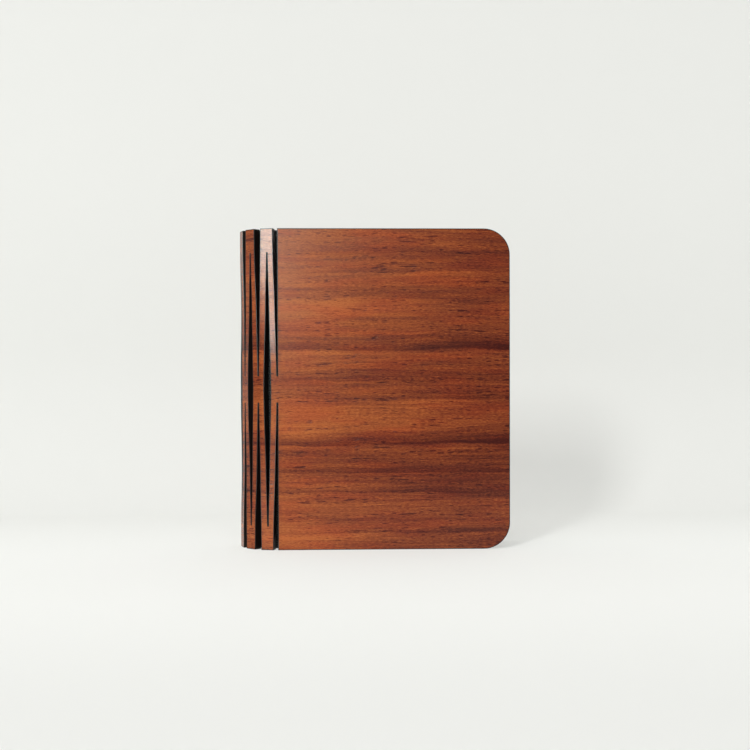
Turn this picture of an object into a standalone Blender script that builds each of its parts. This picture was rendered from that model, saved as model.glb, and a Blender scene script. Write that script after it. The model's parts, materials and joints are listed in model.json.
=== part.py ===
"""Folding book lamp, closed and standing on its lower edge.

Two veneered boards are joined by a living hinge that is cut into the same board and bends as
narrow slats. An accordion of paper fans out between the boards, round a light core that sits in
the spine. Metres, +Z up. The front cover faces -Y, the spine is at -X, and the origin is the
middle of the base.
"""

from math import asin, cos, degrees, pi, radians, sin, sqrt, tan

import bmesh
import bpy
from mathutils import Matrix, Vector

# Overall size of the closed lamp
HEIGHT = 0.122
COVER_WIDTH = 0.0885
BOARD_THICKNESS = 0.003
CORNER_RADIUS = 0.010

# Living hinge: columns of slits, alternately inside the board and open at its edges
SLATS_PER_SIDE = 6
HINGE_PITCH = 0.0034
INNER_SLIT_LENGTH = 0.104
INNER_SLIT_WIDTH = 0.0018
EDGE_SLIT_SPINE_CUT = 0.0012
EDGE_SLIT_COVER_CUT = 0.0007
EDGE_SLIT_BRIDGE = 0.010
HINGE_CLEARANCE = 0.0003
OPEN_ANGLE = radians(186.0)

# Play between touching pieces
SEAT_GAP = 0.0003

# Lining, end leaves and pages
LINING_THICKNESS = 0.0003
LINING_INSET = 0.0004
LEAF_THICKNESS = 0.0003
LEAF_MARGIN = 0.002
PAPER_THICKNESS = 0.0003
PAGE_INSET = 0.003
FORE_EDGE_INSET = 0.004
PAGE_START = 0.0065

# Light core, measured from the centre of the bent spine
CORE_HALF_WIDTH = 0.007
CORE_WALL = 0.0012
CORE_INSET = 0.004
CORE_FRONT = 0.0026
RAIL_FRONT = 0.0010
RAIL_THICKNESS = 0.0006
RAIL_REACH = 0.0009
CAP_THICKNESS = 0.0022
DIFFUSER_RISE = 0.0015
DIFFUSER_WALL = 0.0009

# What the core holds
LED_BOARD_THICKNESS = 0.0008
LED_BOARD_INSET = 0.0015
LED_COUNT = 14
LED_WIDTH = 0.0028
LED_HEIGHT = 0.0035
LED_THICKNESS = 0.0005
LED_END_MARGIN = 0.005
CELL_RADIUS = 0.005
CELL_LENGTH = 0.044
CELL_CAP_RADIUS = 0.0021
CELL_CAP_HEIGHT = 0.0008
CONTROL_BOARD_THICKNESS = 0.0010
CONTROL_BOARD_LENGTH = 0.032
CONTROL_BOARD_START = 0.0005
SWITCH_RADIUS = 0.0010
SWITCH_LENGTH = 0.012
SWITCH_HEIGHT = 0.022

# Charging socket in the bottom cap
SOCKET_WIDTH = 0.0090
SOCKET_THICKNESS = 0.0032
SOCKET_LENGTH = 0.0073
SOCKET_WALL = 0.0003
SOCKET_DEPTH = 0.0062
SOCKET_RECESS = 0.0003

# Cap screws and their bosses
SCREW_RADIUS = 0.0008
SCREW_LENGTH = 0.0060
SCREW_HEAD_RADIUS = 0.0017
SCREW_HEAD_HEIGHT = 0.0011
BOSS_RADIUS = 0.0018
BOSS_LENGTH = 0.0075
BOSS_BACKSET = 0.0013
BOSS_HALF_SPACING = 0.0037

# Magnets sunk into the covers
CLOSING_MAGNET_RADIUS = 0.0030
SWITCH_MAGNET_RADIUS = 0.0020
MAGNET_THICKNESS = 0.0015
CLOSING_MAGNET_EDGE = 0.009
CLOSING_MAGNET_INSET = 0.024
SWITCH_MAGNET_FROM_HINGE = 0.0065

# How finely round shapes are divided
ARC_STEPS = 10
ROUND_SIDES = 20
SMALL_SIDES = 12
CUT_OVERRUN = 0.001

# Sizes that follow from those above
MID_HEIGHT = HEIGHT / 2
HALF_BOARD = BOARD_THICKNESS / 2
HALF_BEND = radians(90.0) / (2 * SLATS_PER_SIDE)
BACK_HALF_BEND = OPEN_ANGLE / (2 * SLATS_PER_SIDE) - HALF_BEND
HINGE_RADIUS = HINGE_PITCH / (2 * sin(HALF_BEND))
HALF_CLEARANCE = HINGE_CLEARANCE / 2
FACE_CLEARANCE = HALF_CLEARANCE + HALF_BOARD * tan(max(HALF_BEND, BACK_HALF_BEND))
SPINE_REACH = HINGE_RADIUS + HALF_BOARD * cos(HALF_BEND) - FACE_CLEARANCE * sin(HALF_BEND)
SPINE_CENTRE_X = SPINE_REACH - (SPINE_REACH + COVER_WIDTH) / 2

LINING_OFFSET = HALF_BOARD + SEAT_GAP + LINING_THICKNESS / 2
LINING_INNER = HINGE_RADIUS * cos(HALF_BEND) - LINING_OFFSET - LINING_THICKNESS / 2
LINING_WIDTH = 2 * LINING_INNER * tan(HALF_BEND) - SEAT_GAP

LEAF_OFFSET = HALF_BOARD + SEAT_GAP + LEAF_THICKNESS / 2
PAGE_ROOM = HINGE_RADIUS - LEAF_OFFSET - LEAF_THICKNESS / 2 - SEAT_GAP
PLEAT_PITCH = PAGE_ROOM / SLATS_PER_SIDE
PLEAT_HALF_SPREAD = (PLEAT_PITCH - SEAT_GAP) / 2
PAGE_END = COVER_WIDTH - FORE_EDGE_INSET

CORE_BACK_RADIUS = LINING_INNER - SEAT_GAP
CORE_INNER_RADIUS = CORE_BACK_RADIUS - CORE_WALL
CORE_INNER_HALF_WIDTH = CORE_HALF_WIDTH - CORE_WALL
BODY_BOTTOM = CORE_INSET + CAP_THICKNESS + SEAT_GAP
BODY_TOP = HEIGHT - BODY_BOTTOM
LED_BOARD_BACK = RAIL_FRONT + SEAT_GAP
LED_BOARD_FRONT = LED_BOARD_BACK + LED_BOARD_THICKNESS
CELL_X = -(CORE_INNER_RADIUS - SEAT_GAP - CELL_RADIUS)
CONTROL_BOARD_FRONT = LED_BOARD_BACK - 2 * SEAT_GAP - SOCKET_THICKNESS
CELL_BOTTOM = BODY_BOTTOM + CONTROL_BOARD_START + CONTROL_BOARD_LENGTH + SEAT_GAP
BOSS_X = -(CORE_INNER_RADIUS - BOSS_BACKSET)


class Body:
    """A group of pieces that moves as one, held by an empty on its joint's axis."""

    def __init__(self, name, parent=None, place=(0.0, 0.0, 0.0), turn=0.0):
        self.empty = bpy.data.objects.new(name, None)
        self.empty.empty_display_size = HINGE_PITCH
        self.empty.location = place
        self.empty.rotation_euler = (0.0, 0.0, turn)
        local = Matrix.Translation(Vector(place)) @ Matrix.Rotation(turn, 4, "Z")
        self.world = local
        if parent is not None:
            self.empty.parent = parent.empty
            self.world = parent.world @ local
        bpy.context.scene.collection.objects.link(self.empty)


def clear_scene():
    """Remove every object that the file opened with."""
    for item in list(bpy.data.objects):
        bpy.data.objects.remove(item, do_unlink=True)


def make_material(name, colour, roughness, metallic=0.0, transmission=0.0):
    """Make a Principled material."""
    material = bpy.data.materials.new(name)
    material.use_nodes = True
    shader = material.node_tree.nodes["Principled BSDF"]
    shader.inputs["Base Color"].default_value = (*colour, 1.0)
    shader.inputs["Roughness"].default_value = roughness
    shader.inputs["Metallic"].default_value = metallic
    shader.inputs["Transmission Weight"].default_value = transmission
    material.diffuse_color = (*colour, 1.0)
    return material


def loft(loops):
    """Make a closed mesh from equal loops of points, joined in turn and capped at both ends."""
    shape = bmesh.new()
    rings = [[shape.verts.new(point) for point in loop] for loop in loops]
    for low, high in zip(rings, rings[1:]):
        for i in range(len(low)):
            j = (i + 1) % len(low)
            shape.faces.new((low[i], low[j], high[j], high[i]))
    shape.faces.new(list(reversed(rings[0])))
    shape.faces.new(rings[-1])
    bmesh.ops.recalc_face_normals(shape, faces=shape.faces)
    return shape


def prism(outline, bottom, top):
    """Extrude an outline of (x, y) points from one height to another."""
    return loft([[(x, y, z) for x, y in outline] for z in (bottom, top)])


def box(low, high):
    """Make a box between two corners."""
    outline = [(low[0], low[1]), (high[0], low[1]), (high[0], high[1]), (low[0], high[1])]
    return prism(outline, low[2], high[2])


def arc(centre, radius, start, end, steps):
    """Points along an arc of a circle, both ends included."""
    turns = [start + (end - start) * i / steps for i in range(steps + 1)]
    return [(centre[0] + radius * cos(a), centre[1] + radius * sin(a)) for a in turns]


def rod(radius, bottom, top, centre=(0.0, 0.0), sides=ROUND_SIDES):
    """Make an upright cylinder."""
    outline = arc(centre, radius, 0.0, 2 * pi, sides)[:-1]
    return prism(outline, bottom, top)


def merge(shapes):
    """Copy several shapes into one, as separate bodies."""
    whole = bmesh.new()
    for shape in shapes:
        copy = bpy.data.meshes.new("copy")
        shape.to_mesh(copy)
        shape.free()
        whole.from_mesh(copy)
        bpy.data.meshes.remove(copy)
    return whole


def turn_to_depth(shape):
    """Turn an upright shape so that its length runs along +Y."""
    bmesh.ops.transform(shape, matrix=Matrix.Rotation(-pi / 2, 4, "X"), verts=shape.verts)
    return shape


def add(name, shape, material, body, smooth=False):
    """Turn a shape, given in its body's own frame, into a named object."""
    mesh = bpy.data.meshes.new(name)
    shape.to_mesh(mesh)
    shape.free()
    mesh.materials.append(material)
    if smooth:
        mesh.shade_smooth()
        mesh.set_sharp_from_angle(angle=radians(35.0))
    item = bpy.data.objects.new(name, mesh)
    item.parent = body.empty
    bpy.context.scene.collection.objects.link(item)
    return item


def boolean(item, name, shape, operation):
    """Cut a shape out of an object, or fuse it to it, with a hidden guide."""
    mesh = bpy.data.meshes.new(name)
    shape.to_mesh(mesh)
    shape.free()
    guide = bpy.data.objects.new(name, mesh)
    guide.parent = item.parent
    guide.hide_render = True
    guide.display_type = "WIRE"
    bpy.context.scene.collection.objects.link(guide)
    modifier = item.modifiers.new(name, "BOOLEAN")
    modifier.operation = operation
    modifier.object = guide


def inner_slit(height):
    """Half width of a slit that lies inside the board: widest at mid height, pointed at its ends."""
    away = abs(height - MID_HEIGHT)
    return max(0.0, INNER_SLIT_WIDTH / 2 * (1 - away / (INNER_SLIT_LENGTH / 2)))


def edge_slit(height, cut):
    """How far a slit that opens at the board's edge goes into one of its two slats.

    It is pointed towards the bridge and reaches its full cut at the board's edge.
    """
    away = abs(height - MID_HEIGHT)
    half_bridge = EDGE_SLIT_BRIDGE / 2
    return max(0.0, cut * (away - half_bridge) / (MID_HEIGHT - half_bridge))


def spine_slit(height):
    """The side of an edge slit towards the middle of the spine, which is cut back further."""
    return edge_slit(height, EDGE_SLIT_SPINE_CUT)


def cover_slit(height):
    """The side of an edge slit towards the cover."""
    return edge_slit(height, EDGE_SLIT_COVER_CUT)


def inner_slit_heights():
    """Heights at which the wall of an inner slit changes direction."""
    reach = [INNER_SLIT_LENGTH / 2 * (1 - 2 * clear / INNER_SLIT_WIDTH)
             for clear in (HALF_CLEARANCE, FACE_CLEARANCE)]
    return [MID_HEIGHT] + [MID_HEIGHT + side * away for away in reach for side in (-1, 1)]


def edge_slit_heights(cut):
    """Heights at which the wall of an edge slit changes direction."""
    half_bridge = EDGE_SLIT_BRIDGE / 2
    reach = [half_bridge + (MID_HEIGHT - half_bridge) * clear / cut
             for clear in (HALF_CLEARANCE, FACE_CLEARANCE)]
    return [0.0, HEIGHT] + [MID_HEIGHT + side * away for away in reach for side in (-1, 1)]


def slat_shape(near_slit, far_slit, heights):
    """A slat from its joint's axis to the next axis, each edge bevelled both ways at the bridges."""
    loops = []
    for height in heights:
        near = near_slit(height)
        far = far_slit(height)
        near_face = max(FACE_CLEARANCE, near)
        near_mid = max(HALF_CLEARANCE, near)
        far_face = HINGE_PITCH - max(FACE_CLEARANCE, far)
        far_mid = HINGE_PITCH - max(HALF_CLEARANCE, far)
        section = [
            (near_face, -HALF_BOARD), (far_face, -HALF_BOARD), (far_mid, 0.0),
            (far_face, HALF_BOARD), (near_face, HALF_BOARD), (near_mid, 0.0),
        ]
        loops.append([(x, y, height) for x, y in section])
    return loft(loops)


def cover_shape():
    """A cover board from its joint's axis to the fore-edge, straight along the hinge."""
    far = COVER_WIDTH - CORNER_RADIUS
    top = HEIGHT - CORNER_RADIUS
    round_part = arc((far, CORNER_RADIUS), CORNER_RADIUS, -pi / 2, 0.0, ARC_STEPS)
    round_part += arc((far, top), CORNER_RADIUS, 0.0, pi / 2, ARC_STEPS)
    loops = []
    for depth, clear in ((-HALF_BOARD, FACE_CLEARANCE), (0.0, HALF_CLEARANCE), (HALF_BOARD, FACE_CLEARANCE)):
        outline = round_part + [(clear, HEIGHT), (clear, 0.0)]
        loops.append([(x, depth, z) for x, z in outline])
    return loft(loops)


def magnet_places(side):
    """Radius and place (from the hinge axis, height) of each magnet in a cover."""
    edge = COVER_WIDTH - CLOSING_MAGNET_EDGE
    places = [(CLOSING_MAGNET_RADIUS, edge, CLOSING_MAGNET_INSET),
              (CLOSING_MAGNET_RADIUS, edge, HEIGHT - CLOSING_MAGNET_INSET)]
    if side < 0:
        switch_height = BODY_BOTTOM + SWITCH_HEIGHT
        places.append((SWITCH_MAGNET_RADIUS, SWITCH_MAGNET_FROM_HINGE, switch_height))
    return places


def disc(radius, x, z, near, far):
    """A disc whose axis runs along Y, between two depths."""
    shape = turn_to_depth(rod(radius, near, far))
    bmesh.ops.translate(shape, vec=(x, 0.0, z), verts=shape.verts)
    return shape


def build_cover(name, side, body, wood, steel):
    """A cover board with its magnets sunk into the inner face."""
    board = add(name + "_board", cover_shape(), wood, body, smooth=True)
    inner = -side * HALF_BOARD
    floor = inner + side * (MAGNET_THICKNESS + 2 * SEAT_GAP)
    sunk = inner + side * SEAT_GAP
    bottom = floor - side * SEAT_GAP
    for number, (radius, x, z) in enumerate(magnet_places(side), 1):
        pocket = disc(radius + SEAT_GAP, x, z, *sorted((floor, inner - side * CUT_OVERRUN)))
        boolean(board, f"{name}_pocket_{number}", pocket, "DIFFERENCE")
        title = f"{name}_magnet_{number}" if radius == CLOSING_MAGNET_RADIUS else "switch_magnet"
        add(title, disc(radius, x, z, *sorted((bottom, sunk))), steel, body, smooth=True)


def build_leaf(name, side, body, paper):
    """The end leaf, glued to the inside of a cover."""
    middle = -side * LEAF_OFFSET
    low = (LEAF_MARGIN, middle - LEAF_THICKNESS / 2, PAGE_INSET)
    high = (PAGE_END, middle + LEAF_THICKNESS / 2, HEIGHT - PAGE_INSET)
    add(name + "_end_leaf", box(low, high), paper, body)


def build_lining(name, side, body, fabric):
    """The strip of black lining behind one slat."""
    middle = -side * LINING_OFFSET
    start = (HINGE_PITCH - LINING_WIDTH) / 2
    low = (start, middle - LINING_THICKNESS / 2, LINING_INSET)
    high = (start + LINING_WIDTH, middle + LINING_THICKNESS / 2, HEIGHT - LINING_INSET)
    add(name, box(low, high), fabric, body)


def pleat_outline():
    """A pleat of the closed accordion from above: two panels that meet in a fold at the fore-edge."""
    fold = PAGE_END - PAPER_THICKNESS
    lower = [
        (PAGE_START, PAPER_THICKNESS - PLEAT_HALF_SPREAD), (PAGE_START, -PLEAT_HALF_SPREAD),
        (fold, -PAPER_THICKNESS), (PAGE_END, -PAPER_THICKNESS / 2),
    ]
    return [(fold, 0.0)] + lower + [(x, -y) for x, y in reversed(lower)]


def build_pleat(name, side, number, body, paper):
    """One pleat, parallel to the covers, carried by a slat that stands at an angle to it."""
    item = add(name, prism(pleat_outline(), PAGE_INSET, HEIGHT - PAGE_INSET), paper, body)
    item.matrix_parent_inverse = body.world.inverted()
    item.location = (SPINE_CENTRE_X, side * PLEAT_PITCH * (number - 0.5), 0.0)


def build_side(name, side, core, materials):
    """Slats, lining and pleats from the middle of the spine outwards, then the cover."""
    body = core
    place = (-HINGE_RADIUS, 0.0, 0.0)
    turn = side * (pi / 2 - HALF_BEND)
    for number in range(1, SLATS_PER_SIDE + 1):
        body = Body(f"{name}_hinge_{number}", body, place, turn)
        starts_at_edge_slit = number % 2 == 1
        slits = (cover_slit, inner_slit) if starts_at_edge_slit else (inner_slit, spine_slit)
        cut = EDGE_SLIT_COVER_CUT if starts_at_edge_slit else EDGE_SLIT_SPINE_CUT
        heights = sorted(inner_slit_heights() + edge_slit_heights(cut))
        add(f"{name}_slat_{number}", slat_shape(*slits, heights), materials["wood"], body)
        build_lining(f"{name}_lining_{number}", side, body, materials["fabric"])
        build_pleat(f"{name}_pleat_{number}", side, number, body, materials["paper"])
        place = (HINGE_PITCH, 0.0, 0.0)
        turn = -side * 2 * HALF_BEND
    cover = Body(f"{name}_cover_hinge", body, place, -side * HALF_BEND)
    build_cover(f"{name}_cover", side, cover, materials["wood"], materials["steel"])
    build_leaf(name, side, cover, materials["paper"])


def mirrored(points):
    """An outline's half followed by its mirror image, in order round the outline."""
    return points + [(x, -y) for x, y in reversed(points)]


def core_back(radius, half_width):
    """Half of the core's round back, from its side wall to the middle."""
    edge = asin(half_width / radius)
    return arc((0.0, 0.0), radius, pi - edge, pi, ARC_STEPS)


def front_arc(inset):
    """Half of the diffuser's front from the middle to its edge, moved in by the wall."""
    radius = (CORE_HALF_WIDTH ** 2 + DIFFUSER_RISE ** 2) / (2 * DIFFUSER_RISE)
    edge_x = CORE_FRONT + SEAT_GAP
    centre_x = edge_x + DIFFUSER_RISE - radius
    inner = radius - inset
    end = asin((CORE_HALF_WIDTH - inset) / inner)
    if inset > 0:
        end = min(end, asin(sqrt(inner ** 2 - (edge_x - centre_x) ** 2) / inner))
    return arc((centre_x, 0.0), inner, 0.0, end, ARC_STEPS)


def housing_outline():
    """The housing from above: a round-backed channel, open at the front, with a rail in each wall."""
    outer = [(CORE_FRONT, CORE_HALF_WIDTH)] + core_back(CORE_BACK_RADIUS, CORE_HALF_WIDTH)[:-1]
    rail_back = RAIL_FRONT - RAIL_THICKNESS
    rail_edge = CORE_INNER_HALF_WIDTH - RAIL_REACH
    inner = [
        (CORE_FRONT, CORE_INNER_HALF_WIDTH), (RAIL_FRONT, CORE_INNER_HALF_WIDTH), (RAIL_FRONT, rail_edge),
        (rail_back, rail_edge), (rail_back, CORE_INNER_HALF_WIDTH),
    ] + core_back(CORE_INNER_RADIUS, CORE_INNER_HALF_WIDTH)[:-1]
    outside = mirrored(outer + [(-CORE_BACK_RADIUS, 0.0)])
    inside = mirrored(inner + [(-CORE_INNER_RADIUS, 0.0)])
    return drop_doubles(outside + list(reversed(inside)))


def drop_doubles(points):
    """Leave out each point that repeats the one before it."""
    return [point for i, point in enumerate(points) if point != points[i - 1]]


def cap_outline():
    """The core's full outline from above, round back and bowed front."""
    back = core_back(CORE_BACK_RADIUS, CORE_HALF_WIDTH)
    return drop_doubles(mirrored(front_arc(0.0) + back))


def diffuser_outline():
    """The diffuser from above: a bowed strip that closes the front of the housing."""
    outer = front_arc(0.0)
    inner = front_arc(DIFFUSER_WALL)
    half = list(reversed(outer))
    back = list(reversed(inner))
    outside = half[:-1] + [outer[0]] + [(x, -y) for x, y in outer[1:]]
    inside = back[:-1] + [inner[0]] + [(x, -y) for x, y in inner[1:]]
    return outside + list(reversed(inside))


def rounded_slot(width, thickness, centre_x):
    """A slot with round ends, wide along Y, seen from above."""
    radius = thickness / 2
    reach = width / 2 - radius
    far = arc((centre_x, reach), radius, 0.0, pi, SMALL_SIDES)
    near = arc((centre_x, -reach), radius, pi, 2 * pi, SMALL_SIDES)
    return far + near


def boss_places():
    """Centres of the two screw bosses, seen from above."""
    return [(BOSS_X, side * BOSS_HALF_SPACING) for side in (-1, 1)]


def build_housing(core, material):
    """The housing, with a screw boss at each end of each side."""
    housing = add("core_housing", prism(housing_outline(), BODY_BOTTOM, BODY_TOP), material, core, smooth=True)
    ends = [("bottom", BODY_BOTTOM, BODY_BOTTOM + BOSS_LENGTH), ("top", BODY_TOP - BOSS_LENGTH, BODY_TOP)]
    for end, low, high in ends:
        bosses = merge([rod(BOSS_RADIUS, low, high, place, SMALL_SIDES) for place in boss_places()])
        boolean(housing, f"{end}_bosses", bosses, "UNION")
        holes = [rod(SCREW_RADIUS + SEAT_GAP, low - CUT_OVERRUN, high + CUT_OVERRUN, place, SMALL_SIDES)
                 for place in boss_places()]
        boolean(housing, f"{end}_boss_holes", merge(holes), "DIFFERENCE")


def build_cap(name, low, outer_face, inward, core, material):
    """An end cap with two counterbored screw holes. inward is +1 for the bottom cap, -1 for the top."""
    cap = add(name, prism(cap_outline(), low, low + CAP_THICKNESS), material, core, smooth=True)
    hole_ends = (outer_face - inward * CUT_OVERRUN, outer_face + inward * (CAP_THICKNESS + CUT_OVERRUN))
    holes = [rod(SCREW_RADIUS + SEAT_GAP, *sorted(hole_ends), place, SMALL_SIDES) for place in boss_places()]
    boolean(cap, name + "_holes", merge(holes), "DIFFERENCE")
    seat = outer_face + inward * (SCREW_HEAD_HEIGHT + SEAT_GAP)
    bore_ends = sorted((outer_face - inward * CUT_OVERRUN, seat))
    bores = [rod(SCREW_HEAD_RADIUS + SEAT_GAP, *bore_ends, place, SMALL_SIDES) for place in boss_places()]
    boolean(cap, name + "_counterbores", merge(bores), "DIFFERENCE")
    return cap


def screw_shape(place, outer_face, inward):
    """A pan-head screw, its head's top at the cap's outer face, its shank pointing inward."""
    neck = outer_face + inward * SCREW_HEAD_HEIGHT
    tip = neck + inward * SCREW_LENGTH
    outline = [(SCREW_HEAD_RADIUS, outer_face), (SCREW_HEAD_RADIUS, neck), (SCREW_RADIUS, neck), (SCREW_RADIUS, tip)]
    loops = []
    for radius, height in outline:
        ring = arc(place, radius, 0.0, 2 * pi, SMALL_SIDES)[:-1]
        loops.append([(x, y, height) for x, y in ring])
    return loft(loops)


def build_socket(core, metal):
    """The charging socket: a thin metal shell with a mouth at the bottom, closed behind."""
    centre_x = CONTROL_BOARD_FRONT + SEAT_GAP + SOCKET_THICKNESS / 2
    bottom = CORE_INSET + SOCKET_RECESS
    outline = rounded_slot(SOCKET_WIDTH, SOCKET_THICKNESS, centre_x)
    socket = add("charging_socket", prism(outline, bottom, bottom + SOCKET_LENGTH), metal, core, smooth=True)
    mouth = rounded_slot(SOCKET_WIDTH - 2 * SOCKET_WALL, SOCKET_THICKNESS - 2 * SOCKET_WALL, centre_x)
    boolean(socket, "socket_mouth", prism(mouth, bottom - CUT_OVERRUN, bottom + SOCKET_DEPTH), "DIFFERENCE")
    hole = rounded_slot(SOCKET_WIDTH + 2 * SEAT_GAP, SOCKET_THICKNESS + 2 * SEAT_GAP, centre_x)
    return prism(hole, CORE_INSET - CUT_OVERRUN, BODY_BOTTOM + CUT_OVERRUN)


def build_leds(core, material):
    """The LED strip: a board on the housing's rails, with a row of packages soldered to its front."""
    half = CORE_INNER_HALF_WIDTH - SEAT_GAP
    bottom = BODY_BOTTOM + LED_BOARD_INSET
    top = BODY_TOP - LED_BOARD_INSET
    low = (LED_BOARD_BACK, -half, bottom)
    strip = add("led_strip", box(low, (LED_BOARD_FRONT, half, top)), material, core)
    first = bottom + LED_END_MARGIN
    spacing = (top - LED_END_MARGIN - first) / (LED_COUNT - 1)
    packages = []
    for number in range(LED_COUNT):
        height = first + spacing * number
        near = (LED_BOARD_FRONT - LED_BOARD_THICKNESS / 2, -LED_WIDTH / 2, height - LED_HEIGHT / 2)
        far = (LED_BOARD_FRONT + LED_THICKNESS, LED_WIDTH / 2, height + LED_HEIGHT / 2)
        packages.append(box(near, far))
    boolean(strip, "led_packages", merge(packages), "UNION")


def build_electronics(core, materials):
    """Control board with the socket and the magnetic switch, and the battery cell above it."""
    half = CORE_INNER_HALF_WIDTH - SEAT_GAP
    bottom = BODY_BOTTOM + CONTROL_BOARD_START
    board_back = CONTROL_BOARD_FRONT - CONTROL_BOARD_THICKNESS
    high = (CONTROL_BOARD_FRONT, half, bottom + CONTROL_BOARD_LENGTH)
    add("control_board", box((board_back, -half, bottom), high), materials["board"], core)

    switch_x = CONTROL_BOARD_FRONT + SEAT_GAP + SWITCH_RADIUS
    switch_low = BODY_BOTTOM + SWITCH_HEIGHT - SWITCH_LENGTH / 2
    switch_y = -(half - SWITCH_RADIUS)
    switch = rod(SWITCH_RADIUS, switch_low, switch_low + SWITCH_LENGTH, (switch_x, switch_y), SMALL_SIDES)
    add("magnetic_switch", switch, materials["glass"], core, smooth=True)

    profile = [(CELL_RADIUS, 0.0), (CELL_RADIUS, CELL_LENGTH - CELL_CAP_HEIGHT),
               (CELL_CAP_RADIUS, CELL_LENGTH - CELL_CAP_HEIGHT), (CELL_CAP_RADIUS, CELL_LENGTH)]
    loops = []
    for radius, height in profile:
        ring = arc((CELL_X, 0.0), radius, 0.0, 2 * pi, ROUND_SIDES)[:-1]
        loops.append([(x, y, CELL_BOTTOM + height) for x, y in ring])
    add("battery_cell", loft(loops), materials["cell"], core, smooth=True)


def build_core(core, materials):
    """The light core: housing, caps, diffuser and what they hold."""
    plastic = materials["plastic"]
    build_housing(core, plastic)
    diffuser = prism(diffuser_outline(), BODY_BOTTOM, BODY_TOP)
    add("core_diffuser", diffuser, materials["diffuser"], core, smooth=True)
    build_leds(core, materials["board"])
    build_electronics(core, materials)
    mouth = build_socket(core, materials["steel"])
    cap_top = HEIGHT - CORE_INSET
    bottom_cap = build_cap("core_bottom_cap", CORE_INSET, CORE_INSET, 1, core, plastic)
    boolean(bottom_cap, "socket_hole", mouth, "DIFFERENCE")
    build_cap("core_top_cap", cap_top - CAP_THICKNESS, cap_top, -1, core, plastic)
    for end, face, inward in (("bottom", CORE_INSET, 1), ("top", cap_top, -1)):
        for number, place in enumerate(boss_places(), 1):
            screw = screw_shape(place, face, inward)
            add(f"{end}_cap_screw_{number}", screw, materials["steel"], core, smooth=True)


def make_materials():
    """All finishes of the lamp."""
    return {
        "wood": make_material("walnut_veneer", (0.17, 0.062, 0.036), 0.5),
        "fabric": make_material("black_lining", (0.012, 0.012, 0.013), 0.9),
        "paper": make_material("white_page_film", (0.86, 0.85, 0.82), 0.6),
        "plastic": make_material("white_core_plastic", (0.78, 0.78, 0.76), 0.45),
        "diffuser": make_material("opal_diffuser", (0.9, 0.9, 0.88), 0.4, transmission=0.3),
        "board": make_material("circuit_board", (0.82, 0.82, 0.80), 0.4),
        "cell": make_material("cell_wrap", (0.03, 0.10, 0.22), 0.35),
        "glass": make_material("switch_glass", (0.25, 0.42, 0.34), 0.1),
        "steel": make_material("plated_steel", (0.62, 0.62, 0.64), 0.28, metallic=1.0),
    }


def main():
    """Build the closed lamp."""
    clear_scene()
    materials = make_materials()
    core = Body("light_core", place=(SPINE_CENTRE_X, 0.0, 0.0))
    build_core(core, materials)
    for name, side in (("front", -1), ("back", 1)):
        build_side(name, side, core, materials)
    print(f"spine centre x {SPINE_CENTRE_X:.6f}, hinge radius {HINGE_RADIUS:.6f}")
    print(f"half bend {degrees(HALF_BEND):.3f} degrees, pleat pitch {PLEAT_PITCH:.6f}")


main()
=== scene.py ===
"""Looks of the folding book lamp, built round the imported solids.

The closed lamp stands on its lower edge. Its veneered board is one piece: two covers and, between
them, a living hinge of slits that bends into a round spine. Behind the hinge lie a woven lining and
the light core, and between the covers a paper accordion. Metres, +Z up, front cover towards -Y.
"""

import json
import logging
from dataclasses import dataclass, field
from enum import Enum
from math import asin, cos, pi, radians, sin, tan
from typing import Any, ClassVar

import bmesh
import bpy
import numpy as np
from mathutils import Matrix, Vector


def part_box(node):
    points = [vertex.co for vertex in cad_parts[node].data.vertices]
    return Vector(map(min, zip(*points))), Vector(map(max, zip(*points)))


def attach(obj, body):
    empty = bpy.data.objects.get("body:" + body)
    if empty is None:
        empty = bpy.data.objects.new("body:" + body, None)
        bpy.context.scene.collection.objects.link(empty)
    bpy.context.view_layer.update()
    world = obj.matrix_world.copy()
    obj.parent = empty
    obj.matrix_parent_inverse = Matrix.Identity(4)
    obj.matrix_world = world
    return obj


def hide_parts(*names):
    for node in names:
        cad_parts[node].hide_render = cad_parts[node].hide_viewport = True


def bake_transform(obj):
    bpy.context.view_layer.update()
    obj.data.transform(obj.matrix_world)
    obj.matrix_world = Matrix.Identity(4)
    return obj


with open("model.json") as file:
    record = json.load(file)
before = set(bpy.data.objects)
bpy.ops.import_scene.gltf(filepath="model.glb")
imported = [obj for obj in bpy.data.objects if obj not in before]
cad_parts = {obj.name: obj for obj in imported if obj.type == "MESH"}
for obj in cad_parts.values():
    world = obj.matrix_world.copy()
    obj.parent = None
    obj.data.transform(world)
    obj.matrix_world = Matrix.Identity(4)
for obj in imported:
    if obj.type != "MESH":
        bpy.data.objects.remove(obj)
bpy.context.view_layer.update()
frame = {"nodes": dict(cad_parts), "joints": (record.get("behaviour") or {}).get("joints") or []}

Array = np.ndarray
Pair = tuple[float, float]
Colour = tuple[float, float, float]
Node = bpy.types.Node
NodeTree = bpy.types.NodeTree
Socket = bpy.types.NodeSocket
Material = bpy.types.Material
Item = bpy.types.Object
LOG = logging.getLogger("book_lamp")

MM = 1000.0

# How far the middle of a quarter round lies in from either face, in radii
ROUND_MIDDLE = 1 - cos(pi / 4)


class Side(Enum):
    """The two halves of the lamp, with the sign of their Y."""

    FRONT = -1
    BACK = 1

    @property
    def title(self) -> str:
        """The half's name as the solids use it."""
        return self.name.lower()


class BarZone(Enum):
    """The four stretches of a hinge bar: the sign of its height from the middle, and its kind."""

    UPPER_END = (1, "end")
    UPPER_MIDDLE = (1, "middle")
    LOWER_MIDDLE = (-1, "middle")
    LOWER_END = (-1, "end")


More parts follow.
